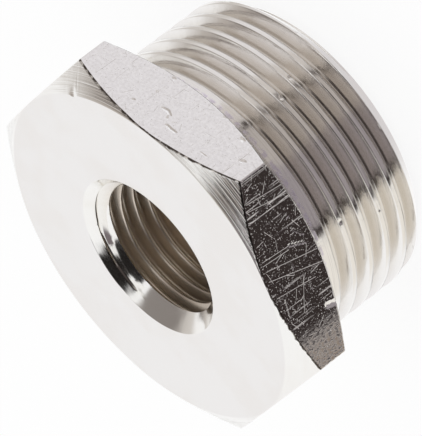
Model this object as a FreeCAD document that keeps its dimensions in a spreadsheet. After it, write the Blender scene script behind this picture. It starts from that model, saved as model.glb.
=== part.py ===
"""Hex bushing: a reducing bushing turned from hexagonal brass bar, in one piece.

The bushing stands on its threaded end with the hexagon on top. The origin is the middle of the threaded
end's face, +Z runs along the common axis of both threads towards the hexagon, and +X points at one corner
of the hexagon. All sizes are in millimetres or degrees and are kept in the spreadsheet named Sizes.
"""
import FreeCAD
import Part
import Sketcher
import math
import os

Vector = FreeCAD.Vector

NODE = "hex_bushing"

# name, value, what it is
SIZES = [
    ("across_flats", 30.0, "spanner size of the hexagon"),
    ("hex_length", 5.8, "length of the hexagon along the axis"),
    ("total_length", 17.5, "overall length"),
    ("corner_bevel_angle", 32.0, "degrees between a turned corner bevel and the face beside it"),
    ("front_face_diameter", 29.8, "circle that the corner bevel leaves on the front face"),
    ("seat_face_diameter", 29.4, "circle that the corner bevel leaves on the seating face"),
    ("shank_diameter", 26.16, "turned shank, a little under the nominal size, so that crests are flat"),
    ("male_diameter", 26.441, "nominal major diameter of the male pipe thread, G 3/4"),
    ("male_pitch", 1.814, "pitch of the male thread, 14 turns to the inch"),
    ("collar_length", 1.28, "plain collar between the seating face and the groove, on the +X side"),
    ("runout_turns", 0.4, "part of a turn over which the male groove fades into the collar"),
    ("end_face_diameter", 23.75, "circle that the bevel leaves at the threaded end"),
    ("end_bevel_angle", 45.0, "degrees between that bevel and the axis"),
    ("female_diameter", 13.157, "major diameter of the female pipe thread, G 1/4"),
    ("female_pitch", 1.337, "pitch of the female thread, 19 turns to the inch"),
    ("female_lead_in", 0.5, "height of the female groove's middle above the front face, on the +X side"),
    ("mouth_diameter", 14.34, "outer edge of the countersink"),
    ("countersink_angle", 45.0, "degrees between the countersink and the axis"),
    ("bore_bevel", 0.5, "width of the bevel where the bore leaves the threaded end"),
    ("flank_angle", 27.5, "half of the thread angle in degrees, Whitworth form"),
    ("depth_share", 0.640327, "thread depth as a share of the pitch"),
    ("flat_share", 0.166667, "flat of a thread's root, and of its crest, as a share of the pitch"),
    ("overrun_share", 0.1, "how far a thread tool stands clear of the crest, as a share of the pitch"),
    ("tool_clearance", 1.0, "how far each bevelling tool reaches past the metal"),
]


def make_sheet(doc):
    """Write each size as text, with its name as the cell's alias."""
    sheet = doc.addObject("Spreadsheet::Sheet", "Sizes")
    for row, (name, value, note) in enumerate(SIZES, start=1):
        sheet.set("A%d" % row, name)
        sheet.set("B%d" % row, str(value))
        sheet.set("C%d" % row, note)
        sheet.setAlias("B%d" % row, name)
    doc.recompute()
    return sheet


def number(owner, expression):
    """Work an expression out to a plain number, in millimetres or degrees."""
    result = owner.evalExpression(expression)
    return float(getattr(result, "Value", result))


def new_sketch(body, name, role):
    """Attach an empty sketch to one of the body's own origin planes."""
    planes = [feature for feature in body.Origin.OriginFeatures if feature.Role == role]
    sketch = body.newObject("Sketcher::SketchObject", name)
    sketch.AttachmentSupport = [(planes[0], "")]
    sketch.MapMode = "FlatFace"
    return sketch


def drive(sketch, name, expression, kind, *elements):
    """Add a named constraint whose value follows an expression."""
    index = sketch.addConstraint(Sketcher.Constraint(kind, *elements, number(sketch, expression)))
    sketch.renameConstraint(index, name)
    sketch.setExpression("Constraints." + name, expression)


def join(sketch, first, second):
    """Make the end of one edge and the start of the next one point."""
    sketch.addConstraint(Sketcher.Constraint("Coincident", first, 2, second, 1))


def hexagon(body, name):
    """Draw a regular hexagon round the origin, with one corner on +X."""
    sketch = new_sketch(body, name, "XY_Plane")
    corner_circle = "Sizes.across_flats / cos(30 deg)"
    reach = number(sketch, corner_circle) / 2
    turns = [k * math.pi / 3 for k in range(7)]
    corners = [Vector(reach * math.cos(turn), reach * math.sin(turn), 0) for turn in turns]
    guide = sketch.addGeometry(Part.Circle(Vector(0, 0, 0), Vector(0, 0, 1), reach), True)
    sketch.addConstraint(Sketcher.Constraint("Coincident", guide, 3, -1, 1))
    sides = [sketch.addGeometry(Part.LineSegment(corners[k], corners[k + 1])) for k in range(6)]
    for k, side in enumerate(sides):
        join(sketch, side, sides[(k + 1) % 6])
        sketch.addConstraint(Sketcher.Constraint("PointOnObject", side, 1, guide))
    for side in sides[1:]:
        sketch.addConstraint(Sketcher.Constraint("Equal", sides[0], side))
    sketch.addConstraint(Sketcher.Constraint("PointOnObject", sides[0], 1, -1))
    drive(sketch, "corner_circle", corner_circle, "Diameter", guide)
    return sketch


def patched_circle(body, name, diameter):
    """Draw a circle as eight equal arcs, so that a thread's crest becomes short patches of the wall.

    Every other arc starts on an axis, and each arc between them starts on a spoke at 45 degrees to the axes.
    """
    sketch = new_sketch(body, name, "XY_Plane")
    radius = number(sketch, diameter) / 2
    circle = Part.Circle(Vector(0, 0, 0), Vector(0, 0, 1), radius)
    turns = [k * math.pi / 4 for k in range(9)]
    arcs = [sketch.addGeometry(Part.ArcOfCircle(circle, *pair)) for pair in zip(turns, turns[1:])]
    for arc, following in zip(arcs, arcs[1:] + arcs[:1]):
        join(sketch, arc, following)
    for arc in arcs[:-1]:
        sketch.addConstraint(Sketcher.Constraint("Coincident", arc, 3, -1, 1))
    sketch.addConstraint(Sketcher.Constraint("Equal", arcs[0], arcs[-1]))
    for arc, axis in zip(arcs[::2], (-1, -2, -1, -2)):
        sketch.addConstraint(Sketcher.Constraint("PointOnObject", arc, 1, axis))
    for arc, turn in zip(arcs[1::2], turns[1::2]):
        end = Vector(radius * math.cos(turn), radius * math.sin(turn), 0)
        spoke = sketch.addGeometry(Part.LineSegment(Vector(0, 0, 0), end), True)
        sketch.addConstraint(Sketcher.Constraint("Coincident", spoke, 1, -1, 1))
        sketch.addConstraint(Sketcher.Constraint("Coincident", spoke, 2, arc, 1))
        sketch.addConstraint(Sketcher.Constraint("Angle", spoke, turn))
    drive(sketch, "diameter", diameter, "Diameter", arcs[0])
    return sketch


def outline(sketch, name, corners):
    """Draw a closed outline. Each corner is two expressions: its distance from the axis and its height."""
    points = [Vector(number(sketch, across), number(sketch, along), 0) for across, along in corners]
    following = points[1:] + points[:1]
    lines = [sketch.addGeometry(Part.LineSegment(start, end)) for start, end in zip(points, following)]
    for first, second in zip(lines, lines[1:] + lines[:1]):
        join(sketch, first, second)
    for k, (line, (across, along)) in enumerate(zip(lines, corners)):
        drive(sketch, "%s_across_%d" % (name, k), across, "DistanceX", -1, 1, line, 1)
        drive(sketch, "%s_along_%d" % (name, k), along, "DistanceY", -1, 1, line, 1)


def bevel(sketch, name, face_radius, reach_radius, height, slope):
    """Draw the section of a bevelling tool: a triangle on the face, whose long side makes the cone.

    slope is how far the cone runs along the axis for each millimetre across, towards +Z where positive.
    """
    far_height = "%s + (%s) * abs((%s) - (%s))" % (height, slope, reach_radius, face_radius)
    outline(sketch, name, [(face_radius, height), (reach_radius, height), (reach_radius, far_height)])


def thread_tool(body, name, root_radius, outwards, pitch, height):
    """Draw the section of a Whitworth thread tool on the +X side: a flat root between two flanks.

    outwards is 1 for a tool that stands outside the metal and -1 for one that stands inside the bore.
    The tool stops a little clear of the crest, short of its own next turn.
    """
    sketch = new_sketch(body, name, "XZ_Plane")
    reach = "(Sizes.depth_share + Sizes.overrun_share) * %s" % pitch
    crest = "%s + (%d) * %s" % (root_radius, outwards, reach)
    half_root = "%s * Sizes.flat_share / 2" % pitch
    half_crest = "(%s + %s * tan(Sizes.flank_angle * 1 deg))" % (half_root, reach)
    outline(sketch, "tool", [
        (root_radius, "%s + %s" % (height, half_root)),
        (crest, "%s + %s" % (height, half_crest)),
        (crest, "%s - %s" % (height, half_crest)),
        (root_radius, "%s - %s" % (height, half_root)),
    ])
    return sketch


def pad(body, name, sketch, length):
    """Raise a sketch towards +Z by a length that follows an expression."""
    feature = body.newObject("PartDesign::Pad", name)
    feature.Profile = sketch
    feature.setExpression("Length", length)
    feature.Refine = False


def through_cut(body, name, sketch):
    """Cut a sketch on the XY plane through everything above it."""
    feature = body.newObject("PartDesign::Pocket", name)
    feature.Profile = sketch
    feature.Type = "ThroughAll"
    feature.Reversed = True
    feature.Refine = False


def turned_cut(body, name, sketch):
    """Turn a section on the XZ plane once round the Z axis and take it away."""
    feature = body.newObject("PartDesign::Groove", name)
    feature.Profile = sketch
    feature.ReferenceAxis = (sketch, ["V_Axis"])
    feature.Angle = 360
    feature.Refine = False


def helical_cut(body, name, sketch, pitch, height):
    """Carry a thread tool down a right-handed helix and take away what it sweeps."""
    feature = body.newObject("PartDesign::SubtractiveHelix", name)
    feature.Profile = sketch
    feature.ReferenceAxis = (sketch, ["V_Axis"])
    feature.Mode = "pitch-height-angle"
    feature.setExpression("Pitch", pitch)
    feature.setExpression("Height", height)
    feature.Reversed = True
    feature.Refine = False


def runout_cut(body, name, sketch, pitch, turns, growth):
    """Carry the same tool up towards the hexagon while it is drawn out of the metal."""
    feature = body.newObject("PartDesign::SubtractiveHelix", name)
    feature.Profile = sketch
    feature.ReferenceAxis = (sketch, ["V_Axis"])
    feature.Mode = "height-turns-growth"
    feature.setExpression("Height", "%s * %s" % (pitch, turns))
    feature.setExpression("Turns", turns)
    feature.setExpression("Growth", growth)
    feature.Refine = False


def make_bushing(doc):
    """Build the whole bushing: shank, hexagon, bore, bevels and the two threads."""
    body = doc.addObject("PartDesign::Body", "Bushing")
    body.Label = NODE

    shank_length = "(Sizes.total_length - Sizes.hex_length)"
    corner_slope = "tan(Sizes.corner_bevel_angle * 1 deg)"
    beyond_corner = "(Sizes.across_flats / 2 / cos(30 deg) + Sizes.tool_clearance)"
    male_root = "(Sizes.male_diameter / 2 - Sizes.depth_share * Sizes.male_pitch)"
    female_minor = "(Sizes.female_diameter / 2 - Sizes.depth_share * Sizes.female_pitch)"

    shank_section = patched_circle(body, "ShankSection", "Sizes.shank_diameter")
    pad(body, "Shank", shank_section, "Sizes.total_length")
    hex_section = hexagon(body, "HexSection")
    hex_section.setExpression(".AttachmentOffset.Base.z", shank_length)
    pad(body, "Hexagon", hex_section, "Sizes.hex_length")
    bore_section = patched_circle(body, "BoreSection", "2 * " + female_minor)
    through_cut(body, "Bore", bore_section)

    corner_tools = new_sketch(body, "CornerBevels", "XZ_Plane")
    bevel(corner_tools, "front", "Sizes.front_face_diameter / 2", beyond_corner,
          "Sizes.total_length", "-" + corner_slope)
    bevel(corner_tools, "seat", "Sizes.seat_face_diameter / 2", beyond_corner, shank_length, corner_slope)
    turned_cut(body, "CornerCut", corner_tools)

    end_tools = new_sketch(body, "EndBevels", "XZ_Plane")
    bevel(end_tools, "end", "Sizes.end_face_diameter / 2", "Sizes.shank_diameter / 2 + Sizes.tool_clearance",
          "0", "1 / tan(Sizes.end_bevel_angle * 1 deg)")
    inside_bore = female_minor + " - Sizes.tool_clearance"
    bevel(end_tools, "mouth", "Sizes.mouth_diameter / 2", inside_bore,
          "Sizes.total_length", "-1 / tan(Sizes.countersink_angle * 1 deg)")
    bevel(end_tools, "bore", female_minor + " + Sizes.bore_bevel", inside_bore, "0", "1")
    turned_cut(body, "EndCut", end_tools)

    male_depth = "(Sizes.shank_diameter / 2 - %s)" % male_root
    male_half_groove = ("(Sizes.male_pitch * Sizes.flat_share / 2 + %s * tan(Sizes.flank_angle * 1 deg))"
                        % male_depth)
    male_start = "%s - Sizes.collar_length - %s" % (shank_length, male_half_groove)
    male_tool = thread_tool(body, "MaleTool", male_root, 1, "Sizes.male_pitch", male_start)
    helical_cut(body, "MaleThread", male_tool, "Sizes.male_pitch", male_start + " + Sizes.male_pitch")
    runout_cut(body, "MaleRunout", male_tool, "Sizes.male_pitch", "Sizes.runout_turns",
               "(Sizes.depth_share + Sizes.overrun_share) * Sizes.male_pitch / Sizes.runout_turns")
    female_start = "Sizes.total_length + Sizes.female_lead_in"
    female_tool = thread_tool(body, "FemaleTool", "Sizes.female_diameter / 2", -1,
                              "Sizes.female_pitch", female_start)
    helical_cut(body, "FemaleThread", female_tool, "Sizes.female_pitch",
                female_start + " + Sizes.female_pitch")
    return body


def failed(doc):
    """List the objects that did not recompute."""
    return [item.Name for item in doc.Objects if "Invalid" in item.State or "Error" in item.State]


def main():
    """Build the bushing, check it and write its STEP file."""
    doc = FreeCAD.newDocument("HexBushing")
    make_sheet(doc)
    body = make_bushing(doc)
    doc.recompute()
    if failed(doc):
        raise RuntimeError("these did not rebuild: %s" % failed(doc))
    shape = body.Shape
    if shape.isNull() or not shape.isValid():
        raise RuntimeError("the bushing has no valid shape")
    box = shape.optimalBoundingBox()
    print("%s: %d solid, %d faces, %.1f mm3" % (NODE, len(shape.Solids), len(shape.Faces), shape.Volume))
    print("box %.3f x %.3f x %.3f mm" % (box.XLength, box.YLength, box.ZLength))
    os.makedirs("parts", exist_ok=True)
    shape.exportStep("parts/%s.step" % NODE)


main()
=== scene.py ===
# %% [markdown]
# # A hex bushing in plated brass
#
# A reducing bushing is one small piece of metal. It starts as a length of hexagonal brass bar. A lathe turns
# one end down and cuts a male pipe thread on it, bores the middle and cuts a smaller female thread there,
# and bevels every edge that a hand or a spanner meets. Last it is plated with nickel, which is what gives it
# its warm silver shine. In Blender the whole bushing is one closed surface, as the real one is.

import math

import bmesh
import bpy
import numpy as np
from mathutils import Matrix, Vector


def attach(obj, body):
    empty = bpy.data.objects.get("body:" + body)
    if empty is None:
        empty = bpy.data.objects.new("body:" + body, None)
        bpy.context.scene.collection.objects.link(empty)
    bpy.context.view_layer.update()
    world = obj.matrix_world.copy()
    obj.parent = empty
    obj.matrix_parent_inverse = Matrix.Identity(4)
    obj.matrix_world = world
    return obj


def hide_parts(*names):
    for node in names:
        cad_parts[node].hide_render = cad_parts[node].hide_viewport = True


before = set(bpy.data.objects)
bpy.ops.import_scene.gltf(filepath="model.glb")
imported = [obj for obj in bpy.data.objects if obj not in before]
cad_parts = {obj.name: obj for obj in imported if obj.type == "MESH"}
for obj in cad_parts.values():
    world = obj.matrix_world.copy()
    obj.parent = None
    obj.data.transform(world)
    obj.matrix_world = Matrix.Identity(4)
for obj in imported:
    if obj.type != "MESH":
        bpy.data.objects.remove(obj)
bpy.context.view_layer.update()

# %% [markdown]
# ## Sizes
#
# These are the sizes that the CAD model has, in millimetres. The two threads are standard pipe threads, G 3/4
# outside and G 1/4 inside, so their diameters and pitches aren't free. The origin is the middle of the
# threaded end's face, +Z runs up the axis to the hexagon, and +X points at one corner of it.
#
# Pipe threads have the Whitworth form. Their flanks lean 27.5 degrees, and the groove is 0.64 of the pitch
# deep. Its floor is a sixth of the pitch wide before its corners are rounded. Where the male groove ends, the
# tool is lifted by the full depth and a tenth of the pitch more.

# %% Sizes
MM = 0.001
TURN = 2 * math.pi

ACROSS_FLATS = 30.0
TOTAL_LENGTH = 17.5
HEX_LENGTH = 5.8
SEAT_HEIGHT = TOTAL_LENGTH - HEX_LENGTH
CORNER_BEVEL = math.tan(math.radians(32.0))
FRONT_FACE_RADIUS = 29.8 / 2
SEAT_FACE_RADIUS = 29.4 / 2

SHANK_RADIUS = 26.16 / 2
MALE_RADIUS = 26.441 / 2
MALE_PITCH = 1.814
COLLAR_LENGTH = 1.28
RUNOUT_TURNS = 0.4
END_FACE_RADIUS = 23.75 / 2

FEMALE_RADIUS = 13.157 / 2
FEMALE_PITCH = 1.337
FEMALE_LEAD_IN = 0.50
MOUTH_RADIUS = 14.34 / 2
BORE_BEVEL = 0.5

FLANK_SLOPE = 1 / math.tan(math.radians(27.5))
DEPTH_SHARE = 0.640327
FLAT_SHARE = 1 / 6
OVERRUN_SHARE = 0.1

# %% [markdown]
# ## The camera
#
# The photograph was taken from far away with a long lens, so the bushing shows almost no perspective. The
# camera stands on the hexagon's side of the part and is rolled, which makes the axis run from lower left to
# upper right in the picture. Its place, its aim and its roll were found by matching the two circles of the
# front face, the corners of the hexagon and the outline of the thread.

# %% The camera
CAMERA_PLACE = (-269.0095, -450.6474, 271.8735)
CAMERA_AIM = (-0.0288, 1.1087, 10.6376)
CAMERA_ROLL = math.radians(-127.536)
CAMERA_LENS = 624.4
CAMERA_SENSOR = 36.0
CAMERA_CLIP = (0.05, 20.0)

look = Vector(CAMERA_AIM) - Vector(CAMERA_PLACE)
camera_turn = look.to_track_quat("-Z", "Y").to_matrix() @ Matrix.Rotation(CAMERA_ROLL, 3, "Z")
camera_data = bpy.data.cameras.new("camera")
camera_data.lens = CAMERA_LENS
camera_data.sensor_width = CAMERA_SENSOR
camera_data.clip_start, camera_data.clip_end = CAMERA_CLIP
camera = bpy.data.objects.new("camera", camera_data)
camera.matrix_world = Matrix.Translation(Vector(CAMERA_PLACE) * MM) @ camera_turn.to_4x4()
bpy.context.collection.objects.link(camera)
bpy.context.scene.camera = camera
print("camera distance in mm:", round(look.length, 1))

# %% [markdown]
# ## One grid for the whole surface
#
# Think of cutting the bushing with a half plane that is hinged on the axis. The cut is a closed outline, and
# as the half plane turns, the outline changes a little: it reaches further at the hexagon's corners, and the
# threads climb. So the surface is a grid. Its columns are positions of the half plane, and its rows are
# points along the outline. Round the bend of each corner of the hexagon the columns stand closer, because
# there the surface turns fastest. One more column stands right beside each bend, so that the flat next to it
# still shades flat.

# %% Columns
CORNER_ROUND = 0.12
CORNER_STEPS = 3
COLUMNS_ACROSS = 27
BEND_HOLD = 0.004

corner_centre = (ACROSS_FLATS / 2 - CORNER_ROUND) / math.cos(math.radians(30))
bend_end = math.atan2(CORNER_ROUND * math.sin(math.radians(30)),
                      corner_centre + CORNER_ROUND * math.cos(math.radians(30)))
sixth = TURN / 6
bend = np.linspace(0, bend_end, CORNER_STEPS + 1)
across = np.linspace(bend_end, sixth - bend_end, COLUMNS_ACROSS + 1)[1:-1]
across = np.concatenate([[bend_end + BEND_HOLD], across, [sixth - bend_end - BEND_HOLD]])
sector = np.concatenate([bend, across, sixth - bend[:0:-1]])
turns = np.concatenate([sector + k * sixth for k in range(6)] + [[TURN]])
print("columns:", len(turns) - 1)


def hexagon_reach(turn):
    """Distance from the axis to the hexagon's side, in the direction turn.

    On a flat it is half the spanner size over the cosine of the angle from the flat's middle. Within the
    bend of a corner it is the far side of a small circle that touches both flats.
    """
    from_corner = np.abs((turn + sixth / 2) % sixth - sixth / 2)
    flat = ACROSS_FLATS / 2 / np.cos(sixth / 2 - from_corner)
    sideways = corner_centre * np.sin(from_corner)
    bent = corner_centre * np.cos(from_corner) + np.sqrt(np.maximum(CORNER_ROUND ** 2 - sideways ** 2, 0))
    return np.where(from_corner < bend_end, bent, flat)


# %% [markdown]
# ## Softened corners
#
# No real edge is perfectly sharp. A turned edge is rounded by a few hundredths of a millimetre, and that tiny
# round is what catches the light as a thin bright line. Each corner of the outline becomes a short curve,
# with one more row on each side of it so that the flat faces next to it still shade flat.

# %% Softened corners
ROUND_STEPS = 3
ROWS_PER_ROUND = ROUND_STEPS + 3
ROUND_HOLD = 0.03
ROUND_SHARE, HOLD_SHARE = 0.4, 0.48


def soften(corners, widths):
    """Round the corners of an outline that is given for every column.

    corners is a list of (radius, height) pairs of arrays. widths has one number for each inner corner, the
    length along each side that the round takes up. The round is a quadratic curve: its three control points
    are the corner and the two places where the round starts, and a row stands ROUND_HOLD outside each. On a
    short side the round takes ROUND_SHARE of it at most, and the row outside stands within HOLD_SHARE.
    """
    ones = np.ones_like(turns)
    points = np.array([(radius * ones, height * ones) for radius, height in corners])
    rows = [points[0]]
    for k, width in enumerate(widths, start=1):
        before = points[k - 1] - points[k]
        after = points[k + 1] - points[k]
        before_length = np.hypot(*before)
        after_length = np.hypot(*after)
        shorter = np.minimum(before_length, after_length)
        reach = np.minimum(width, ROUND_SHARE * shorter)
        outside = np.minimum(reach + ROUND_HOLD, HOLD_SHARE * shorter)
        before = before / before_length
        after = after / after_length
        rows.append(points[k] + before * outside)
        for share in np.linspace(0, 1, ROUND_STEPS + 1):
            pull = reach * (1 - share) ** 2
            push = reach * share ** 2
            rows.append(points[k] + before * pull + after * push)
        rows.append(points[k] + after * outside)
    rows.append(points[-1])
    return np.array(rows)


# %% [markdown]
# ## The head
#
# The head is the hexagon with both faces turned. A straight cutter takes the corners off at an angle, and
# where that cone meets the six flats it leaves the curved edge that every nut has. The curve needs no work
# here: the cone's height at the flat depends on how far the hexagon reaches in each direction. The flats get
# more rows, because dents are pressed into them later.

# %% The head's outline
EDGE_BAND = 0.1
FLAT_ROWS = 16
# reach of the rounds at the mouth, the front face's rim, the flat's two ends and the seat face's rim
HEAD_ROUNDS = [0.05, 0.12, 0.12, 0.08, 0.1]

reach = hexagon_reach(turns)
front_edge = TOTAL_LENGTH - CORNER_BEVEL * (reach - FRONT_FACE_RADIUS)
seat_edge = SEAT_HEIGHT + CORNER_BEVEL * (reach - SEAT_FACE_RADIUS)
head_corners = [
    (MOUTH_RADIUS - EDGE_BAND, TOTAL_LENGTH - EDGE_BAND),
    (MOUTH_RADIUS, TOTAL_LENGTH),
    (FRONT_FACE_RADIUS, TOTAL_LENGTH),
    (reach, front_edge),
    (reach, seat_edge),
    (SEAT_FACE_RADIUS, SEAT_HEIGHT),
    (SHANK_RADIUS, SEAT_HEIGHT),
]
head = soften(head_corners, HEAD_ROUNDS)
# the flat starts below the rounds of three corners
edge_row = 3 * ROWS_PER_ROUND
between = np.linspace(0, 1, FLAT_ROWS + 1)[1:-1, None, None]
flat_rows = head[edge_row] + between * (head[edge_row + 1] - head[edge_row])
head = np.concatenate([head[:edge_row + 1], flat_rows, head[edge_row + 1:]])
print("rows in the head:", len(head))

# %% [markdown]
# ## The threads
#
# A thread is one groove that climbs at a steady rate. Rows of constant height would cut across it in steps,
# so the rows climb with the groove: each row keeps its place in the thread, such as the bottom of the groove
# or the shoulder of the crest, all the way round. After one turn a row arrives one pitch higher, exactly
# where another row started, and the seam closes. Rows that climb past the end of the thread are held there,
# and the faces that this flattens are dropped afterwards.

# %% The groove's section
def smooth_max(a, b, width):
    """The larger of two heights, with the corner between them filled by a parabola of the given width."""
    return np.maximum(a, b) + np.maximum(width - np.abs(a - b), 0) ** 2 / (4 * width)


def groove_depth(turns_from_middle, pitch, floor, crest_round, root_round):
    """Depth of the groove below the crest, at a distance from its middle that is given in pitches.

    The flanks fall at the Whitworth angle to a flat floor, whose depth below the crest is given too. The
    crest's shoulders and the corners of the floor are rounded.
    """
    flank = floor - (np.abs(turns_from_middle) - FLAT_SHARE / 2) * pitch * FLANK_SLOPE
    shape = -smooth_max(-flank, -floor, root_round)
    return smooth_max(shape, 0.0, crest_round)


def whole_pitch(half_marks):
    """Places of the rows over one pitch, from those between the groove's middle and the crest's middle."""
    return np.array([0.0] + half_marks + [0.5] + [1 - mark for mark in reversed(half_marks)])


def climbing_rows(marks, pitch, middle, low, high):
    """Heights of the rows of a thread, highest first, for every column.

    marks are the rows' places within one pitch below the middle of a groove. A row's height is the height
    of the groove's middle on the +X side, less its place, plus one pitch for each whole turn.
    """
    first = math.floor((middle - high) / pitch) - 1
    last = math.ceil((middle - low) / pitch) + 2
    places = np.concatenate([marks + k for k in range(first, last + 1)])
    climbed = turns / TURN
    heights = middle + pitch * (climbed[None, :] - places[:, None])
    kept = (heights.min(axis=1) < high) & (heights.max(axis=1) > low)
    kept |= np.roll(kept, 1) | np.roll(kept, -1)
    return np.clip(heights[kept], low, high)


def phase(heights, pitch, middle):
    """Place of each point in the thread, in pitches below the middle of the top groove."""
    return turns[None, :] / TURN - (heights - middle) / pitch


def settle_on_edge(heights, difference):
    """Move the nearest row onto the edge where two surfaces cross, so that the edge comes out clean.

    The surfaces cross where their difference changes sign between two rows. The crossing is found on the
    straight line between them.
    """
    gap = difference(heights)
    upper, lower = gap[:-1], gap[1:]
    row, column = np.nonzero((upper * lower < 0) & (heights[:-1] > heights[1:]))
    share = upper[row, column] / (upper[row, column] - lower[row, column])
    crossing = heights[row, column] + share * (heights[row + 1, column] - heights[row, column])
    heights[np.where(share < 0.5, row, row + 1), column] = crossing
    return heights


# %% [markdown]
# The male thread starts below a plain collar. Where its groove ends, the tool is drawn out over less than
# half a turn, so the groove gets shallow and fades into the collar. At the other end a 45 degree bevel cuts
# across the turns, which leaves the open start that guides a fitting on.

# %% The male thread
MALE_CREST_ROUND = 0.07
MALE_ROOT_ROUND = 0.28
# rows from the middle of the groove to the crest, in pitches, close together at the crest's shoulder
MALE_HALF_MARKS = [0.042, 0.084, 0.127, 0.17, 0.26, 0.355, 0.366, 0.376, 0.387, 0.398]

male_floor = DEPTH_SHARE * MALE_PITCH - (MALE_RADIUS - SHANK_RADIUS)
male_groove_half = MALE_PITCH * FLAT_SHARE / 2 + male_floor / FLANK_SLOPE
male_middle = SEAT_HEIGHT - COLLAR_LENGTH - male_groove_half
male_marks = whole_pitch(MALE_HALF_MARKS)


def male_thread(heights):
    """Radius of the threaded shank. The top groove lifts out of the metal as it climbs past the +X side."""
    place = phase(heights, MALE_PITCH, male_middle)
    groove = np.maximum(np.round(place), 0)
    climbed = np.where(groove == 0, turns[None, :] / TURN, 0)
    lift = (DEPTH_SHARE + OVERRUN_SHARE) * MALE_PITCH * climbed / RUNOUT_TURNS
    lift = np.where(climbed > RUNOUT_TURNS, MALE_PITCH, lift)
    depth = groove_depth(place - groove, MALE_PITCH, male_floor - lift, MALE_CREST_ROUND, MALE_ROOT_ROUND)
    return SHANK_RADIUS - depth


def end_cone(heights):
    """Radius of the bevel at the threaded end: it grows as fast as the height."""
    return END_FACE_RADIUS + heights


male_heights = climbing_rows(male_marks, MALE_PITCH, male_middle, EDGE_BAND, SEAT_HEIGHT)
male_heights = settle_on_edge(male_heights, lambda z: male_thread(z) - end_cone(z))
male = np.array([np.minimum(male_thread(male_heights), end_cone(male_heights)), male_heights])
print("rows in the male thread:", male.shape[1])

# %% [markdown]
# The female thread is the same surface seen from inside. Its crests are the nearest metal to the axis. The
# countersink at the mouth and a small bevel at the far end open it out.

# %% The female thread
FEMALE_CREST_ROUND = 0.10
FEMALE_ROOT_ROUND = 0.20
FEMALE_HALF_MARKS = [0.06, 0.12, 0.17, 0.374, 0.415, 0.457]

female_middle = TOTAL_LENGTH + FEMALE_LEAD_IN
female_marks = whole_pitch(FEMALE_HALF_MARKS)
female_floor = DEPTH_SHARE * FEMALE_PITCH
female_minor = FEMALE_RADIUS - female_floor


def female_thread(heights):
    """Radius of the threaded bore: the crests' radius and the groove's depth."""
    place = phase(heights, FEMALE_PITCH, female_middle)
    place = place - np.round(place)
    depth = groove_depth(place, FEMALE_PITCH, female_floor, FEMALE_CREST_ROUND, FEMALE_ROOT_ROUND)
    return female_minor + depth


def bore_cones(heights):
    """Radius of the countersink or of the far bevel, whichever is wider. Both open at 45 degrees."""
    countersink = MOUTH_RADIUS - (TOTAL_LENGTH - heights)
    far_bevel = female_minor + BORE_BEVEL - heights
    return np.maximum(countersink, far_bevel)


female_heights = climbing_rows(female_marks, FEMALE_PITCH, female_middle, 0.0, TOTAL_LENGTH - EDGE_BAND)
female_heights = settle_on_edge(female_heights, lambda z: female_thread(z) - bore_cones(z))
female = np.array([np.maximum(female_thread(female_heights), bore_cones(female_heights)), female_heights])
print("rows in the female thread:", female.shape[1])

# %% [markdown]
# The end face joins the two threads at the bottom. One more row stands right beside the bore, so that the
# wide face shades flat up to it.

# %% The end face
END_ROUND = 0.05
BORE_HOLD = 0.04

end_corners = [
    (END_FACE_RADIUS + EDGE_BAND, EDGE_BAND),
    (END_FACE_RADIUS, 0.0),
    (female[0, -1], 0.0),
]
end = soften(end_corners, [END_ROUND])
beside_bore = end[-1] + [[BORE_HOLD], [0.0]]
end = np.concatenate([end[:-1], [beside_bore], end[-1:]])

# %% [markdown]
# ## Knocks
#
# The bushing has lain loose among others, so it has dents: a hooked one, short bars and pits on the flat that
# faced up, short cuts on the flat beside it, a nick at the face's rim and bites in the thread's crests. Each
# is a short path on the surface. The mesh is made finer there, and every point near the path moves inwards
# by the depth times a bell curve of its distance from the path. The long scores are too fine for the mesh
# alone, so they are drawn in the flats' finish.

# %% Knocks
# the edges of a face are cut where the face lies within so many widths of a path and looks outwards
KNOCK_CUTS = 4
KNOCK_REACH = 1.5
KNOCK_FACING = 0.3
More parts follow.
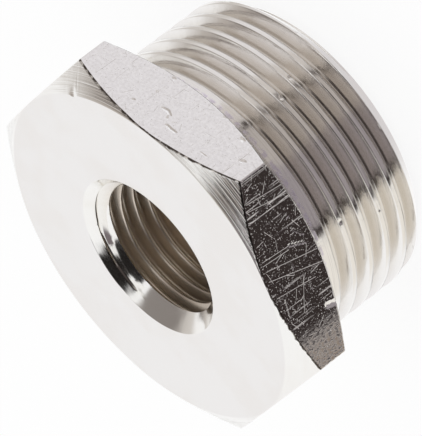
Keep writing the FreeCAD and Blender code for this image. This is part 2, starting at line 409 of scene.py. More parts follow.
# below this share of its depth a knock moves nothing
KNOCK_FADED = 0.01
UP_FLAT, SIDE_FLAT = 270.0, 210.0
ON_FLAT, ON_CREST, ON_RIM = ACROSS_FLATS / 2, SHANK_RADIUS, FRONT_FACE_RADIUS + 0.05
KNOCKS = [
    # azimuth in degrees, distance from the axis, path of (sideways, height) points, width, depth
    (UP_FLAT, ON_FLAT, [(0.61, 14.89), (0.18, 14.80), (-0.27, 15.04), (-0.38, 15.35)], 0.09, 0.058),
    (UP_FLAT, ON_FLAT, [(-0.79, 15.88), (-1.25, 15.93), (-1.76, 15.93)], 0.08, 0.058),
    (UP_FLAT, ON_FLAT, [(-0.88, 15.44), (-1.29, 15.21)], 0.06, 0.026),
    (UP_FLAT, ON_FLAT, [(-4.44, 15.98), (-5.16, 15.96)], 0.05, 0.026),
    (UP_FLAT, ON_FLAT, [(6.79, 16.05), (6.73, 13.94)], 0.04, 0.019),
    (UP_FLAT, ON_FLAT, [(2.81, 15.88)], 0.12, 0.052),
    (UP_FLAT, ON_FLAT, [(2.18, 12.18), (2.05, 12.30)], 0.1, 0.052),
    (UP_FLAT, ON_FLAT, [(2.14, 14.02), (1.95, 14.20)], 0.07, 0.039),
    (UP_FLAT, ON_FLAT, [(5.44, 13.37)], 0.08, 0.026),
    (UP_FLAT, ON_FLAT, [(-5.79, 12.77), (-5.95, 12.90)], 0.13, 0.078),
    (UP_FLAT, ON_FLAT, [(-7.34, 14.43), (-7.50, 14.30)], 0.13, 0.065),
    (UP_FLAT, ON_FLAT, [(-3.40, 12.26)], 0.1, 0.052),
    (SIDE_FLAT, ON_FLAT, [(1.27, 14.79), (0.33, 14.59), (-0.17, 14.76)], 0.055, 0.012),
    (SIDE_FLAT, ON_FLAT, [(-2.01, 16.44), (-3.37, 16.63)], 0.055, 0.013),
    (SIDE_FLAT, ON_FLAT, [(4.42, 16.85), (3.17, 16.35)], 0.055, 0.013),
    (SIDE_FLAT, ON_FLAT, [(2.74, 13.48), (1.77, 12.67)], 0.055, 0.018),
    (SIDE_FLAT, ON_FLAT, [(1.73, 14.28), (1.11, 12.79)], 0.055, 0.018),
    (SIDE_FLAT, ON_FLAT, [(3.91, 13.11), (3.81, 13.52)], 0.055, 0.013),
    (SIDE_FLAT, ON_FLAT, [(-1.61, 13.72), (-2.51, 13.86)], 0.055, 0.013),
    (SIDE_FLAT, ON_FLAT, [(-4.49, 13.22), (-4.73, 12.30)], 0.11, 0.09),
    (-152.3, ON_CREST, [(0.0, 8.13)], 0.13, 0.07),
    (-158.2, ON_CREST, [(0.0, 4.44)], 0.12, 0.06),
    (-159.9, ON_CREST, [(0.0, 2.49)], 0.1, 0.04),
    (-105.6, ON_CREST, [(0.0, 6.42)], 0.12, 0.06),
    (-102.0, ON_CREST, [(0.0, 4.63)], 0.12, 0.06),
    (-105.8, ON_CREST, [(0.0, 3.54)], 0.08, 0.04),
    (-58.2, ON_RIM, [(0.0, 17.44)], 0.28, 0.16),
    (60.0, ON_CREST, [(0.0, 6.30)], 0.12, 0.06),
    (17.0, ON_CREST, [(0.0, 3.10)], 0.1, 0.04),
]


def knock_path(azimuth, distance, path):
    """The path's points in space, in millimetres, and the way that points outwards there."""
    turn = math.radians(azimuth)
    outwards = np.array([math.cos(turn), math.sin(turn), 0.0])
    across = np.array([-math.sin(turn), math.cos(turn), 0.0])
    return np.array([outwards * distance + across * u + np.array([0.0, 0.0, z]) for u, z in path]), outwards


def path_distance(points, path):
    """Distance of each point from a path of straight pieces, or from its one point."""
    nearest = np.linalg.norm(points - path[0], axis=1)
    for start, end in zip(path, path[1:]):
        along = end - start
        share = np.clip((points - start) @ along / (along @ along), 0, 1)
        nearest = np.minimum(nearest, np.linalg.norm(points - start - share[:, None] * along, axis=1))
    return nearest


print("knocks:", len(KNOCKS))

# %% [markdown]
# ## Closing the surface
#
# The four parts of the outline follow one another: head, male thread, end face and, from below, the bore.
# Each is turned into a grid of points, and the points that fall on each other are merged, at the seam, where
# one part meets the next, and where climbing rows were held at an end. What is left is one closed skin.

# %% One closed mesh
FLAT, TURNED, THREAD, BORE = 0, 1, 2, 3
# millimetres from a cone that still count as on it
ON_CONE = 1e-4
# metres between two points that are one, and metres of an edge that is none
SAME_PLACE = 2e-7
NO_LENGTH = 1e-8
SHARP_FROM = math.radians(38)


def grid(rows, finish):
    """Points and quads of one part of the outline. rows is (radius, height) by row by column."""
    radius, height = rows
    points = np.stack([radius * np.cos(turns), radius * np.sin(turns), height], axis=-1) * MM
    count, columns = radius.shape
    index = np.arange(count * columns).reshape(count, columns)
    quads = np.stack([index[:-1, :-1], index[1:, :-1], index[1:, 1:], index[:-1, 1:]], axis=-1)
    finishes = np.broadcast_to(finish, quads.shape[:2])
    return points.reshape(-1, 3), quads.reshape(-1, 4), finishes.reshape(-1)


def cut_finish(rows, cone, finish):
    """The given finish, but TURNED for each quad whose corners all lie on the cone."""
    radius, heights = rows
    on_cone = np.abs(radius - cone(heights)) < ON_CONE
    turned = on_cone[:-1, :-1] & on_cone[1:, :-1] & on_cone[1:, 1:] & on_cone[:-1, 1:]
    return np.where(turned, TURNED, finish)


head_rows = head.transpose(1, 0, 2)
head_finish = np.full((head_rows.shape[1] - 1, 1), TURNED)
# the flat's own rows, with the row outside each round and the first step of the round at the seat
head_finish[edge_row - 1:edge_row + 2 + FLAT_ROWS] = FLAT
parts = [
    grid(head_rows, head_finish),
    grid(male, cut_finish(male, end_cone, THREAD)),
    grid(end.transpose(1, 0, 2), TURNED),
    grid(female[:, ::-1], cut_finish(female[:, ::-1], bore_cones, BORE)),
]
offsets = np.cumsum([0] + [len(points) for points, _, _ in parts[:-1]])
all_points = np.concatenate([points for points, _, _ in parts])
all_quads = np.concatenate([quads + offset for (_, quads, _), offset in zip(parts, offsets)])
all_finishes = np.concatenate([finishes for _, _, finishes in parts])

skin = bpy.data.meshes.new("hex_bushing_skin")
skin.from_pydata(all_points.tolist(), [], all_quads.tolist())
skin.polygons.foreach_set("material_index", all_finishes.astype(np.int32))

work = bmesh.new()
work.from_mesh(skin)
bmesh.ops.remove_doubles(work, verts=work.verts, dist=SAME_PLACE)
bmesh.ops.dissolve_degenerate(work, edges=work.edges, dist=NO_LENGTH)
centres = np.array([face.calc_center_median() for face in work.faces]) / MM
facing = np.array([face.normal for face in work.faces])
sizes = np.sqrt([face.calc_area() for face in work.faces]) / MM
near = np.zeros(len(centres), dtype=bool)
for azimuth, distance, path, width, _ in KNOCKS:
    points, outwards = knock_path(azimuth, distance, path)
    close = path_distance(centres, points) < KNOCK_REACH * width + sizes
    near |= close & (facing @ outwards > KNOCK_FACING)
work.faces.ensure_lookup_table()
edges = {edge for index in np.flatnonzero(near) for edge in work.faces[index].edges}
bmesh.ops.subdivide_edges(work, edges=list(edges), cuts=KNOCK_CUTS, use_grid_fill=True)
open_edges = sum(1 for edge in work.edges if len(edge.link_faces) != 2)
volume = work.calc_volume(signed=True) / MM ** 3
work.to_mesh(skin)
work.free()
triangles = sum(len(face.vertices) - 2 for face in skin.polygons)
print("faces:", len(skin.polygons), "triangles:", triangles)
print("open edges:", open_edges, "cubic millimetres:", round(volume, 1))

places = np.empty(3 * len(skin.vertices))
skin.vertices.foreach_get("co", places)
places = places.reshape(-1, 3) / MM
moves = np.zeros_like(places)
for azimuth, distance, path, width, depth in KNOCKS:
    points, outwards = knock_path(azimuth, distance, path)
    share = np.exp(-(path_distance(places, points) / width) ** 2)
    share[share < KNOCK_FADED] = 0
    moves -= depth * share[:, None] * outwards
skin.vertices.foreach_set("co", ((places + moves) * MM).reshape(-1))
skin.update()
print("points moved by knocks:", int(moves.any(axis=1).sum()))

skin.shade_smooth()
skin.set_sharp_from_angle(angle=SHARP_FROM)
bushing = bpy.data.objects.new("hex_bushing_skin", skin)
bpy.context.collection.objects.link(bushing)

# %% [markdown]
# ## Finishes
#
# The whole piece is nickel over brass, and the nickel is thin enough to copy every mark of the metal under
# it. The flats are the drawn skin of the bar, with its long lines and the knocks of a full box of parts. The
# faces and bevels are turned, so their marks are rings. The threads are cut and stay bright, and the bore
# turns duller and browner deeper in.

# %% Helpers for materials
def linear(hex_colour):
    """Turn an sRGB hex colour into the linear values that a shader takes."""
    parts = [int(hex_colour[k:k + 2], 16) / 255 for k in (1, 3, 5)]
    return tuple(v / 12.92 if v <= 0.04045 else ((v + 0.055) / 1.055) ** 2.4 for v in parts) + (1.0,)


def add(tree, kind, settings, *inputs, **named):
    """Add a node with its settings and links, and give it back.

    Plain inputs go to the node's sockets in their order, and None leaves one as it is. Named inputs go to
    the socket of that name, with _ for a space. A node is linked by its first output.
    """
    node = tree.nodes.new("ShaderNode" + kind)
    for name, value in settings.items():
        setattr(node, name, value)
    sockets = list(zip(node.inputs, inputs))
    sockets += [(node.inputs[name.replace("_", " ")], value) for name, value in named.items()]
    for socket, value in sockets:
        if isinstance(value, bpy.types.Node):
            value = value.outputs[0]
        if isinstance(value, bpy.types.NodeSocket):
            tree.links.new(value, socket)
        elif value is not None:
            socket.default_value = value
    return node


PLUS = {"operation": "ADD"}
MINUS = {"operation": "SUBTRACT"}
TIMES = {"operation": "MULTIPLY"}
TIMES_PLUS = {"operation": "MULTIPLY_ADD"}
LARGER = {"operation": "MAXIMUM"}
SIZE_OF = {"operation": "ABSOLUTE"}
LESS = {"operation": "LESS_THAN"}
SMOOTH = {"interpolation_type": "SMOOTHSTEP"}
# A mix node for colours has its factor first, then five sockets for other kinds, then its two colours.
# Its colour comes out of the output numbered COLOUR_OUT.
COLOUR = {"data_type": "RGBA"}
OTHER_KINDS = [None] * 5
COLOUR_OUT = 2


def new_finish(name):
    """Start a metal material and give back its tree, its shader and its position in millimetres."""
    material = bpy.data.materials.new(name)
    material.use_nodes = True
    tree = material.node_tree
    shader = tree.nodes["Principled BSDF"]
    shader.inputs["Metallic"].default_value = 1.0
    place = add(tree, "TexCoord", {}).outputs["Object"]
    in_mm = add(tree, "VectorMath", {"operation": "SCALE"}, place, Scale=1 / MM)
    skin.materials.append(material)
    return tree, shader, in_mm


def dress(tree, shader, colour, roughness, bump):
    """Link the three things that a finish works out to its shader."""
    tree.links.new(colour, shader.inputs["Base Color"])
    tree.links.new(roughness.outputs[0], shader.inputs["Roughness"])
    tree.links.new(bump.outputs[0], shader.inputs["Normal"])


def axis_distance(tree, in_mm):
    """Distance from the axis and height above the threaded end, both in millimetres."""
    level = add(tree, "VectorMath", {"operation": "MULTIPLY"}, in_mm, (1.0, 1.0, 0.0))
    away = add(tree, "VectorMath", {"operation": "LENGTH"}, level).outputs["Value"]
    height = add(tree, "SeparateXYZ", {}, in_mm).outputs["Z"]
    return away, height


def axis_angle(tree, in_mm):
    """Angle round the axis, counted from +X, from minus half a turn to half a turn."""
    coordinates = add(tree, "SeparateXYZ", {}, in_mm).outputs
    return add(tree, "Math", {"operation": "ARCTAN2"}, coordinates["Y"], coordinates["X"])


def turned_marks(tree, in_mm, along, spacing, length=9.0, detail=2.0):
    """Noise that is stretched round the axis, as a lathe tool's marks are.

    It changes over spacing along the section, whose place is along, and over length round the part.
    """
    coordinates = add(tree, "SeparateXYZ", {}, in_mm).outputs
    slow_x = add(tree, "Math", TIMES, coordinates["X"], 1 / length)
    slow_y = add(tree, "Math", TIMES, coordinates["Y"], 1 / length)
    fast = add(tree, "Math", TIMES, along, 1 / spacing)
    where = add(tree, "CombineXYZ", {}, slow_x, slow_y, fast)
    return add(tree, "TexNoise", {}, where, Scale=1.0, Detail=detail)


# %% [markdown]
# A scratch in bright metal isn't painted on. It is rough where the metal round it is smooth, so it gathers
# light from everywhere: on a flat that mirrors something dark it looks bright, and on a bright flat it looks
# grey. So each kind of mark below is a mask from 0 to 1, and the masks raise the roughness and press the
# surface in a little.
#
# The marks need a position on each flat: the distance across it from its middle, and the height. The angle
# round the axis, snapped to the nearest sixth, tells which flat it is. The flats stand far apart in the
# pattern, so no two of them are alike.

# %% Places on the flats
UP_NUMBER, SIDE_NUMBER = -2, -3
FLAT_SPACING = 40.0
BURR = 0.05
FRAYED = (0.35, 0.70)


def place_on_flat(tree, in_mm):
    """Distance across the nearest flat from its middle, depth below that flat, and the flat's number."""
    angle = axis_angle(tree, in_mm)
    number = add(tree, "Math", TIMES_PLUS, angle, 6 / TURN, -0.5)
    number = add(tree, "Math", {"operation": "ROUND"}, number)
    middle = add(tree, "Math", TIMES_PLUS, number, TURN / 6, TURN / 12)
    from_middle = add(tree, "Math", MINUS, angle, middle)
    away, height = axis_distance(tree, in_mm)
    across = add(tree, "Math", TIMES, add(tree, "Math", {"operation": "SINE"}, from_middle), away)
    out = add(tree, "Math", TIMES, add(tree, "Math", {"operation": "COSINE"}, from_middle), away)
    return across, add(tree, "Math", MINUS, ACROSS_FLATS / 2, out), number


def burr_and_shade_beside(tree, in_mm, distance, flat_number, scale, start):
    """Mask of the burr along the flats' curved edge, a ragged line given painted shade, by the distance from
    that edge.

    The line starts at the distance start and is full a little past the edge, but its width wanders between
    nothing and twice BURR. Only the up flat and the side flat have it.
    """
    frayed = add(tree, "TexNoise", {}, in_mm, Scale=scale, Detail=2.0)
    frayed = add(tree, "MapRange", {}, frayed, *FRAYED, 0.0, 2 * BURR)
    burr_and_shade = add(tree, "MapRange", SMOOTH, add(tree, "Math", MINUS, distance, frayed), start, -0.03)
    return add(tree, "Math", TIMES, burr_and_shade, add(tree, "Math", LESS, flat_number, UP_NUMBER + 0.5))


# %% [markdown]
# The flats have, from the finest up: a speckled skin, dark specks, short strokes in every direction, long
# drawn lines that come and go in patches, the long scores, and the burr where the bevel's cutter pushed the
# metal over, which is rougher and has a ragged line of painted shade along it. The strokes come from a
# pattern of cells. Each cell holds one, turned and shortened by the cell's own two chances. One end of the
# side flat is worn: it is hatched with fine scuffs, and a little brass shows through the nickel.

# %% Drawn flats
# widths and lengths in millimetres
DRAWN_LINE = 0.17
STROKE_CELL = 1.3
STROKE_LENGTH = 0.5
STROKE_WIDTH = 0.022
STROKE_FADE = 0.10
SPECK = 0.11
SPECKLE = 0.22
SCORE_WIDTH = 0.022
WORN_ACROSS = (-4.2, -7.6)
# how fast the drawn lines and the scuffs change along the flat, for each millimetre
LINE_CHANGE = 0.035
SCUFF_CHANGE = 2.6
# where in its noise each mark starts to show and where it is full
LINES_SHOW = (0.62, 0.72)
PATCHES_SHOW = (0.35, 0.62)
SPECKS_SHOW = (0.66, 0.74)
SCUFFS_SHOW = (0.30, 0.70)
BURR_SHOWS = (0.42, 0.58)
SPECKLE_SHOWS = (0.30, 0.70)
PATCH_SCALE, SCUFF_SCALE, BREAK_SCALE, FRAY_SCALE = 0.55, 1.2, 0.7, 2.6
CLEAN_ROUGHNESS, MARK_ROUGHNESS = 0.06, 0.48
SPECKLE_HEIGHT, MARK_DEPTH = 0.4, 0.010
DRAWN_NICKEL = ("#E8E6E7", "#F8F7F8")
# the colour of the brass that shows through, and the painted shade along the burr
BRASS_THROUGH, BURR_PAINTED_SHADE = "#B8A89A", "#6B625C"
SCORES = [
    # number of the flat, then where the score starts and ends: across the flat and height
    (SIDE_NUMBER, 8.46, 16.03, 8.37, 13.30),
    (SIDE_NUMBER, 6.72, 16.26, 6.32, 12.68),
    (SIDE_NUMBER, 6.15, 16.40, 5.47, 12.60),
    (SIDE_NUMBER, 5.28, 16.57, 5.10, 12.51),
    (SIDE_NUMBER, 1.92, 16.97, 1.69, 14.22),
    (SIDE_NUMBER, 1.61, 17.06, 1.42, 14.36),
    (SIDE_NUMBER, 1.07, 16.98, 0.00, 12.05),
    (SIDE_NUMBER, 0.23, 17.11, -1.19, 11.93),
    (SIDE_NUMBER, -1.35, 17.05, -1.87, 13.14),
    (SIDE_NUMBER, -1.12, 14.08, -3.77, 15.30),
    (SIDE_NUMBER, -2.01, 16.44, -3.37, 16.63),
    (UP_NUMBER, 6.79, 16.05, 6.73, 13.94),
]

tree, shader, in_mm = new_finish("nickel_over_drawn_brass")
across, _, flat_number = place_on_flat(tree, in_mm)
away, height = axis_distance(tree, in_mm)
across_own = add(tree, "Math", TIMES_PLUS, flat_number, FLAT_SPACING, across)
plane = add(tree, "CombineXYZ", {}, across_own, height)

fast = add(tree, "Math", TIMES, across_own, 1 / DRAWN_LINE)
slow = add(tree, "Math", TIMES, height, LINE_CHANGE)
lines = add(tree, "TexNoise", {}, add(tree, "CombineXYZ", {}, fast, slow), Scale=1.0, Detail=3.0)
lines = add(tree, "MapRange", SMOOTH, lines, *LINES_SHOW)
patches = add(tree, "TexNoise", {}, plane, Scale=PATCH_SCALE, Detail=2.0)
patches = add(tree, "MapRange", SMOOTH, patches, *PATCHES_SHOW)
lines = add(tree, "Math", TIMES, lines, patches)

cells = add(tree, "TexVoronoi", {"voronoi_dimensions": "2D"}, plane, Scale=1 / STROKE_CELL)
from_seed = add(tree, "VectorMath", {"operation": "SUBTRACT"}, plane, cells.outputs["Position"])
chance = add(tree, "SeparateXYZ", {}, cells.outputs["Color"]).outputs
way = add(tree, "Math", TIMES, chance["X"], TURN)
turned = add(tree, "VectorRotate", {"rotation_type": "Z_AXIS"}, from_seed, Angle=way)
stroke = add(tree, "SeparateXYZ", {}, turned).outputs
long_way = add(tree, "Math", SIZE_OF, stroke["X"])
short_way = add(tree, "Math", SIZE_OF, stroke["Y"])
half_length = add(tree, "Math", TIMES, chance["Y"], STROKE_LENGTH)
past_end = add(tree, "Math", MINUS, long_way, half_length)
inside = add(tree, "MapRange", SMOOTH, past_end, STROKE_FADE, -STROKE_FADE)
thin = add(tree, "MapRange", SMOOTH, short_way, STROKE_WIDTH, STROKE_WIDTH / 3)
strokes = add(tree, "Math", TIMES, inside, thin)

specks = add(tree, "TexNoise", {}, in_mm, Scale=1 / SPECK, Detail=1.0)
specks = add(tree, "MapRange", SMOOTH, specks, *SPECKS_SHOW)
speckle = add(tree, "TexNoise", {}, in_mm, Scale=1 / SPECKLE, Detail=3.0)

worn = add(tree, "MapRange", SMOOTH, across, *WORN_ACROSS)
scuffs = add(tree, "CombineXYZ", {}, fast, add(tree, "Math", TIMES, height, SCUFF_CHANGE))
scuffs = add(tree, "TexNoise", {}, scuffs, Scale=SCUFF_SCALE, Detail=5.0)
scuffs = add(tree, "MapRange", SMOOTH, scuffs, *SCUFFS_SHOW)
worn = add(tree, "Math", TIMES, worn, scuffs)
worn = add(tree, "Math", TIMES, worn, add(tree, "Math", LESS, flat_number, SIDE_NUMBER + 0.5))

below_edge = add(tree, "Math", TIMES_PLUS, away, -CORNER_BEVEL,
                 TOTAL_LENGTH + CORNER_BEVEL * FRONT_FACE_RADIUS)
below_edge = add(tree, "Math", MINUS, below_edge, height)
burr_and_shade = burr_and_shade_beside(tree, in_mm, below_edge, flat_number, FRAY_SCALE, 0.02)
broken = add(tree, "TexNoise", {}, in_mm, Scale=BREAK_SCALE, Detail=4.0)
broken = add(tree, "MapRange", SMOOTH, broken, *BURR_SHOWS)
burr_and_shade = add(tree, "Math", TIMES, burr_and_shade, broken)

marks = add(tree, "Math", LARGER, lines, strokes)
for number, u_start, z_start, u_end, z_end in SCORES:
    length = math.hypot(u_end - u_start, z_end - z_start)
    along = ((u_end - u_start) / length, (z_end - z_start) / length, 0.0)
    across_it = (-along[1], along[0], 0.0)
    start = (number * FLAT_SPACING + u_start, z_start, 0.0)
    offset = add(tree, "VectorMath", {"operation": "SUBTRACT"}, plane, start)
    beside = add(tree, "VectorMath", {"operation": "DOT_PRODUCT"}, offset, across_it).outputs["Value"]
    beside = add(tree, "MapRange", SMOOTH, add(tree, "Math", SIZE_OF, beside), SCORE_WIDTH, SCORE_WIDTH / 3)
    run = add(tree, "VectorMath", {"operation": "DOT_PRODUCT"}, offset, along).outputs["Value"]
    within = add(tree, "Math", {"operation": "COMPARE"}, run, length / 2, length / 2)
    marks = add(tree, "Math", LARGER, marks, add(tree, "Math", TIMES, beside, within))
for mark in (specks, worn, burr_and_shade):
    marks = add(tree, "Math", LARGER, marks, mark)

shade = add(tree, "MapRange", {}, speckle, *SPECKLE_SHOWS)
colour = add(tree, "Mix", COLOUR, shade, *OTHER_KINDS, *map(linear, DRAWN_NICKEL))
colour = add(tree, "Mix", COLOUR, worn, *OTHER_KINDS, colour.outputs[COLOUR_OUT], linear(BRASS_THROUGH))
# painted shade: the colour is darkened along the burr's line
colour = add(tree, "Mix", COLOUR, burr_and_shade, *OTHER_KINDS, colour.outputs[COLOUR_OUT], linear(BURR_PAINTED_SHADE))
rough = add(tree, "Math", TIMES_PLUS, marks, MARK_ROUGHNESS, CLEAN_ROUGHNESS)
relief = add(tree, "Math", MINUS, add(tree, "Math", TIMES, speckle, SPECKLE_HEIGHT), marks)
bump = add(tree, "Bump", {}, Strength=0.4, Distance=MARK_DEPTH * MM, Height=relief)
dress(tree, shader, colour.outputs[COLOUR_OUT], rough, bump)

# %% [markdown]
# A turned face has rings. On the front face they are so shallow that only a sheen is left of them, and on the
# bevels they are deep enough to break up what the metal mirrors. The plating has faint blotches, and the
# countersink is pressed a little out of shape, so its reflections wander. The burr's ragged line of painted
# shade goes on along the bevel.

# %% Turned faces and bevels
RING_SPACING = 0.19
FINE_SPACING = 0.05
BLOTCH = 5.0
BLOTCHES_SHOW = (0.42, 0.62)
BEVEL_START = FRONT_FACE_RADIUS + 0.05
BEVEL_BLEND = 0.3
FACE_RINGS = 0.03
RING_DEPTH = 0.036
MOUTH_BLEND = 0.2
MOUTH_WAVE = 0.07
BEVEL_FRAY_SCALE, WAVE_SCALE = 2.2, 0.6
TURNED_ROUGHNESS, RING_ROUGHNESS = 0.08, 0.10
TURNED_NICKEL = ("#F4F3F1", "#F2F0ED")
# painted shade along the burr on the bevel
BEVEL_BURR_PAINTED_SHADE = "#57504B"

tree, shader, in_mm = new_finish("nickel_over_turned_brass")
away, height = axis_distance(tree, in_mm)
rings = turned_marks(tree, in_mm, away, RING_SPACING / 2)
on_bevel = add(tree, "MapRange", {}, away, BEVEL_START, BEVEL_START + BEVEL_BLEND)
strength = add(tree, "Math", TIMES_PLUS, on_bevel, 1 - FACE_RINGS, FACE_RINGS)
ring_height = add(tree, "Math", TIMES, rings, strength)
fine = turned_marks(tree, in_mm, add(tree, "Math", PLUS, away, height), FINE_SPACING)

_, below_flat, flat_number = place_on_flat(tree, in_mm)
burr_and_shade = burr_and_shade_beside(tree, in_mm, below_flat, flat_number, BEVEL_FRAY_SCALE, 0.03)
blotches = add(tree, "TexNoise", {}, in_mm, Scale=1 / BLOTCH, Detail=4.0)
blotches = add(tree, "MapRange", SMOOTH, blotches, *BLOTCHES_SHOW)
colour = add(tree, "Mix", COLOUR, blotches, *OTHER_KINDS, *map(linear, TURNED_NICKEL))
# painted shade: the colour is darkened along the burr's line on the bevel
colour = add(tree, "Mix", COLOUR, burr_and_shade, *OTHER_KINDS, colour.outputs[COLOUR_OUT], linear(BEVEL_BURR_PAINTED_SHADE))
rough = add(tree, "Math", TIMES_PLUS, fine, RING_ROUGHNESS, TURNED_ROUGHNESS)

waves = add(tree, "TexNoise", {}, in_mm, Scale=WAVE_SCALE, Detail=0.3)
in_mouth = add(tree, "MapRange", {}, away, MOUTH_RADIUS + MOUTH_BLEND, MOUTH_RADIUS)
waves = add(tree, "Math", TIMES, waves, in_mouth)
bump = add(tree, "Bump", {}, Strength=1.0, Distance=RING_DEPTH * MM, Height=ring_height)
bump = add(tree, "Bump", {}, Strength=1.0, Distance=MOUTH_WAVE * MM, Height=waves, Normal=bump)
dress(tree, shader, colour.outputs[COLOUR_OUT], rough, bump)

# %% [markdown]
# The male thread's colour has painted shade: it is a little darker in its grooves than at its crests. Under
# each crest the tool has left fine lines that climb with the thread, and streaks on the flank that faces
# down. Both are pressed in a little and darkened with painted shade. The lines are placed by the position in
# the turn, which runs from 0 to 1 over one pitch, with the crest just past its middle. The collar above the
# thread has a faint violet haze and a more uneven plating.

# %% The male thread's finish
NEAR_CREST = (SHANK_RADIUS - 0.75, SHANK_RADIUS - 0.1)
BESIDE_CREST = (SHANK_RADIUS - 0.35, SHANK_RADIUS - 0.12)
FACING_DOWN = (0.05, -0.15)
# the tool lines: their spacing, the turn that they are counted from, and where they start and end in a turn
TOOL_LINE = 0.075
LINES_FROM = 0.8008
LINES_START, LINES_END = (0.32, 0.37), (0.52, 0.46)
LINES_ROUND = 1.5
TOOL_LINES_SHOW = (0.46, 0.60)
# the share of painted shade in the tool lines, and how deep they are pressed in
TOOL_LINE_PAINTED_SHADE, TOOL_LINE_DEPTH = 0.45, 1.2
STREAK = 0.07
STREAKS_SHOW = (0.52, 0.68)
# the collar above the thread, with its haze and its more uneven plating
COLLAR_START = SEAT_HEIGHT - COLLAR_LENGTH
COLLAR_BLEND = 0.15
COLLAR_UNEVEN = 3.0
HAZE = 0.45
HAZE_SHOWS = (0.40, 0.62)
HAZE_ROUGHNESS = 0.22
MOTTLE_SCALE = 1.6
MOTTLE_ROUGHNESS = (0.10, 0.20)
# painted shade: the grooves' colour is darker than the crests'
GROOVE_SHADE_AND_CREST_NICKEL = ("#E6E2DD", "#F1EFED")
# the painted shade under the crests and in the tool lines, then the violet haze
PAINTED_SHADE_LINE, VIOLET_HAZE = "#7A716A", "#E4DEEA"

tree, shader, in_mm = new_finish("nickel_over_cut_thread")
away, height = axis_distance(tree, in_mm)
near_crest = add(tree, "MapRange", SMOOTH, away, *NEAR_CREST)
beside_crest = add(tree, "MapRange", SMOOTH, away, *BESIDE_CREST)
on_collar = add(tree, "MapRange", SMOOTH, height, COLLAR_START, COLLAR_START + COLLAR_BLEND)

angle = axis_angle(tree, in_mm)
in_turn = add(tree, "Math", TIMES_PLUS, height, 1 / MALE_PITCH, 0.5 - LINES_FROM)
in_turn = add(tree, "Math", TIMES_PLUS, angle, -1 / TURN, in_turn)
in_turn = add(tree, "Math", {"operation": "FRACT"}, in_turn)
lines_start = add(tree, "MapRange", SMOOTH, in_turn, *LINES_START)
lines_end = add(tree, "MapRange", SMOOTH, in_turn, *LINES_END)
crest_foot = add(tree, "Math", TIMES, lines_start, lines_end)
finer = add(tree, "Math", TIMES, in_turn, MALE_PITCH / TOOL_LINE)
tool_lines = add(tree, "CombineXYZ", {}, finer, add(tree, "Math", TIMES, angle, LINES_ROUND))
tool_lines = add(tree, "TexNoise", {}, tool_lines, Scale=1.0, Detail=1.0)
tool_lines = add(tree, "MapRange", SMOOTH, tool_lines, *TOOL_LINES_SHOW)
tool_lines = add(tree, "Math", TIMES, tool_lines, crest_foot)

streaks = turned_marks(tree, in_mm, height, STREAK, length=5.0, detail=3.0)
normal = add(tree, "SeparateXYZ", {}, add(tree, "TexCoord", {}).outputs["Normal"]).outputs
# painted shade on the flank that faces down under each crest, and in the tool lines
facing_down = add(tree, "MapRange", SMOOTH, normal["Z"], *FACING_DOWN)
under_crest = add(tree, "Math", TIMES, beside_crest, facing_down)
painted_shade_lines = add(tree, "Math", TIMES, add(tree, "MapRange", SMOOTH, streaks, *STREAKS_SHOW), under_crest)
painted_shade_lines = add(tree, "Math", LARGER, painted_shade_lines, add(tree, "Math", TIMES, tool_lines, TOOL_LINE_PAINTED_SHADE))

haze = add(tree, "TexNoise", {}, in_mm, Scale=1 / HAZE, Detail=4.0)
haze = add(tree, "Math", TIMES, add(tree, "MapRange", SMOOTH, haze, *HAZE_SHOWS), on_collar)
mottle = add(tree, "TexNoise", {}, in_mm, Scale=MOTTLE_SCALE, Detail=3.0)

# painted shade: darker in the grooves, lighter at the crests
colour = add(tree, "Mix", COLOUR, near_crest, *OTHER_KINDS, *map(linear, GROOVE_SHADE_AND_CREST_NICKEL))
# painted shade under the crests and in the tool lines
colour = add(tree, "Mix", COLOUR, painted_shade_lines, *OTHER_KINDS, colour.outputs[COLOUR_OUT], linear(PAINTED_SHADE_LINE))
colour = add(tree, "Mix", COLOUR, haze, *OTHER_KINDS, colour.outputs[COLOUR_OUT], linear(VIOLET_HAZE))
rough = add(tree, "MapRange", {}, mottle, 0.35, 0.65, *MOTTLE_ROUGHNESS)
rough = add(tree, "Math", TIMES_PLUS, haze, HAZE_ROUGHNESS, rough)
uneven = add(tree, "Math", TIMES, mottle, add(tree, "Math", TIMES_PLUS, on_collar, COLLAR_UNEVEN, 1.0))
relief = add(tree, "Math", TIMES_PLUS, uneven, 0.5, add(tree, "Math", TIMES, streaks, under_crest))
relief = add(tree, "Math", TIMES_PLUS, tool_lines, -TOOL_LINE_DEPTH, relief)
bump = add(tree, "Bump", {}, Strength=0.8, Distance=0.014 * MM, Height=relief)
dress(tree, shader, colour.outputs[COLOUR_OUT], rough, bump)

# %% [markdown]
# The bore is as bright as the face at its mouth. About a millimetre in, it starts to turn browner and duller,
# and two millimetres in it is at its brownest and dullest.

# %% The bore's finish
DULL_BELOW = (TOTAL_LENGTH - 0.9, TOTAL_LENGTH - 2.0)
BRIGHT_AND_BROWN_NICKEL = ("#F0EEEA", "#DCD2C5")
BRIGHT_ROUGHNESS, DULL_ROUGHNESS = 0.10, 0.22
BORE_STREAK = 0.09

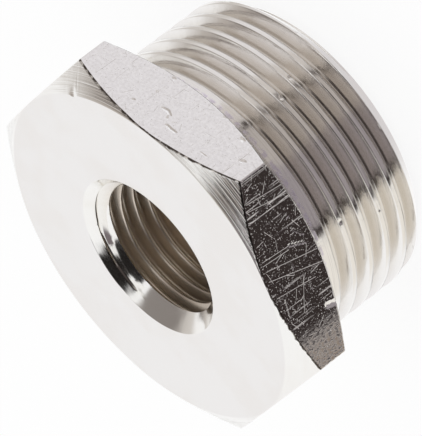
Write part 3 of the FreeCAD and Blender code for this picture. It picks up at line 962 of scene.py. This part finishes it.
tree, shader, in_mm = new_finish("nickel_in_the_bore")
away, height = axis_distance(tree, in_mm)
mottle = add(tree, "TexNoise", {}, in_mm, Scale=2.4, Detail=3.0)
deep = add(tree, "MapRange", SMOOTH, height, *DULL_BELOW)
tone = add(tree, "Math", PLUS, deep, add(tree, "Math", TIMES_PLUS, mottle, 0.3, -0.15))
colour = add(tree, "Mix", COLOUR, tone, *OTHER_KINDS, *map(linear, BRIGHT_AND_BROWN_NICKEL))
rough = add(tree, "Math", TIMES_PLUS, deep, DULL_ROUGHNESS, BRIGHT_ROUGHNESS)
streaks = turned_marks(tree, in_mm, height, BORE_STREAK)
bump = add(tree, "Bump", {}, Strength=0.4, Distance=0.01 * MM, Height=streaks)
dress(tree, shader, colour.outputs[COLOUR_OUT], rough, bump)

# %% [markdown]
# ## The surroundings
#
# Bright metal has hardly a colour of its own: it shows what stands round it. For the photograph the bushing
# lay on its side with one flat up. The marks of light and dark on it fit a white table, a room with a dark
# doorway, a ceiling, a window, and sheets hung behind and above. Here it stands on its thread, so these
# surroundings are turned with it. They are drawn in the world as soft-edged cards, each given by its swing
# round the axis, counted from the flat that faced up and negative towards the camera, and by its rise along
# the axis. A later card covers the ones before it. Only glossy rays see the cards. Everything else sees plain
# white.

# %% The surroundings
CARDS = [
    # what it is, swing from and to, rise from and to, softness of its edges, all in degrees, colour
    ("table, cream where it leaves the light", -152, -93, -90, 24, 22, "#F3EFE7"),
    ("room, side wall", -93.5, -34, -90, 90, 2.5, "#9C9597"),
    ("room, back wall", -36, 3, -90, 90, 5, "#B6AFAA"),
    ("ceiling", 2, 25, -90, 90, 6, "#D3CDC8"),
    ("ceiling, far part", 24, 78, -90, -12, 8, "#EAE7E7"),
    ("edge of the ceiling", -2, 3, -60, 5, 2, "#443D39"),
    ("edge of the table", -94.5, -86.5, -60, 90, 2, "#362F2D"),
    ("dark doorway", -90, -8, -12, 52, 8, "#463F3D"),
    ("upper room", -90, 3, 44, 84, 4, "#171311"),
    ("bright strip of the ceiling", 24, 66, -84, -43, 5, "#FFFFFF"),
    ("shelf", 20, 78, -15, 30, 9, "#BEB7B0"),
    ("pale sheet behind", 76, 108, -48, 40, 18, "#D3CEC9"),
    ("upper sheet", 24, 92, 27, 68, 14, "#8B8581"),
    ("grey end of the upper sheet", 92, 124, 36, 76, 14, "#B9B1AA"),
    ("dark end of the upper sheet", 78, 98, 40, 72, 12, "#6A635F"),
    ("paper in front of the hexagon", 122, 178, 2, 52, 20, "#F7F6F7"),
    ("camera side, in shade", -190, -116, 60, 95, 6, "#787073"),
    ("camera side, in the light", 95, 190, 72, 95, 8, "#A0978F"),
    ("window", 3, 24, 46, 84, 4, "#FFFFFF"),
    ("table under the thread", 114, 172, -84, -50, 16, "#DBD7D8"),
    ("round the lens", -190, 190, 86, 95, 4, "#6F6864"),
]
WHITE = (1.0, 1.0, 1.0, 1.0)

world = bpy.data.worlds.new("light tent")
bpy.context.scene.world = world
world.use_nodes = True
tree = world.node_tree
direction = add(tree, "TexCoord", {}).outputs["Generated"]
coordinates = add(tree, "SeparateXYZ", {}, direction).outputs
minus_y = add(tree, "Math", TIMES, coordinates["Y"], -1.0)
swing = add(tree, "Math", {"operation": "ARCTAN2"}, coordinates["X"], minus_y)
swing = add(tree, "Math", {"operation": "DEGREES"}, swing)
rise = add(tree, "Math", {"operation": "ARCSINE"}, coordinates["Z"])
rise = add(tree, "Math", {"operation": "DEGREES"}, rise)
tent = WHITE
for name, swing_from, swing_to, rise_from, rise_to, soft, colour in CARDS:
    half = soft / 2
    left = add(tree, "MapRange", SMOOTH, swing, swing_from - half, swing_from + half)
    right = add(tree, "MapRange", SMOOTH, swing, swing_to + half, swing_to - half)
    below = add(tree, "MapRange", SMOOTH, rise, rise_from - half, rise_from + half)
    above = add(tree, "MapRange", SMOOTH, rise, rise_to + half, rise_to - half)
    sides = add(tree, "Math", TIMES, left, right)
    ends = add(tree, "Math", TIMES, below, above)
    covers = add(tree, "Math", TIMES, sides, ends)
    card = add(tree, "Mix", {**COLOUR, "label": name}, covers, *OTHER_KINDS, tent, linear(colour))
    tent = card.outputs[COLOUR_OUT]
glossy = add(tree, "LightPath", {}).outputs["Is Glossy Ray"]
seen = add(tree, "Mix", COLOUR, glossy, *OTHER_KINDS, WHITE, tent)
tree.links.new(seen.outputs[COLOUR_OUT], tree.nodes["Background"].inputs["Color"])
bpy.context.scene.view_settings.view_transform = "Standard"
print("cards:", len(CARDS))

# %% [markdown]
# ## The floor
#
# The floor is a plain pale sheet. To the camera most of its brightness is its own, so that it comes out as
# white as the background and still keeps a faint shadow under the bushing. Reflected rays pass through it,
# because what the metal mirrors is in the world. From below it is clear too, so that the threaded end can be
# looked at, and it lies a twentieth of a millimetre under that end, so that the two don't fall together.

# %% The floor
FLOOR_HALF = 600.0
FLOOR_DROP = 0.05
OWN_LIGHT = 0.88

floor_corners = [(-1, -1), (1, -1), (1, 1), (-1, 1)]
floor_mesh = bpy.data.meshes.new("floor")
floor_points = [(x * FLOOR_HALF * MM, y * FLOOR_HALF * MM, -FLOOR_DROP * MM) for x, y in floor_corners]
floor_mesh.from_pydata(floor_points, [], [(0, 1, 2, 3)])
floor = bpy.data.objects.new("floor", floor_mesh)
bpy.context.collection.objects.link(floor)
paper = bpy.data.materials.new("white_paper")
paper.use_nodes = True
tree = paper.node_tree
tree.nodes.clear()
matt = add(tree, "BsdfDiffuse", {}, linear("#F8F8F8"))
glow = add(tree, "Emission", {}, WHITE, 1.0)
clear = add(tree, "BsdfTransparent", {})
light_path = add(tree, "LightPath", {}).outputs
own_light = add(tree, "Math", TIMES, light_path["Is Camera Ray"], OWN_LIGHT)
pale = add(tree, "MixShader", {}, own_light, matt, glow)
from_below = add(tree, "NewGeometry", {}).outputs["Backfacing"]
see_through = add(tree, "Math", LARGER, light_path["Is Glossy Ray"], from_below)
sheet = add(tree, "MixShader", {}, see_through, pale, clear)
add(tree, "OutputMaterial", {}, sheet)
floor_mesh.materials.append(paper)

# %% Hand over
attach(bushing, "root")
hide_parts("hex_bushing")
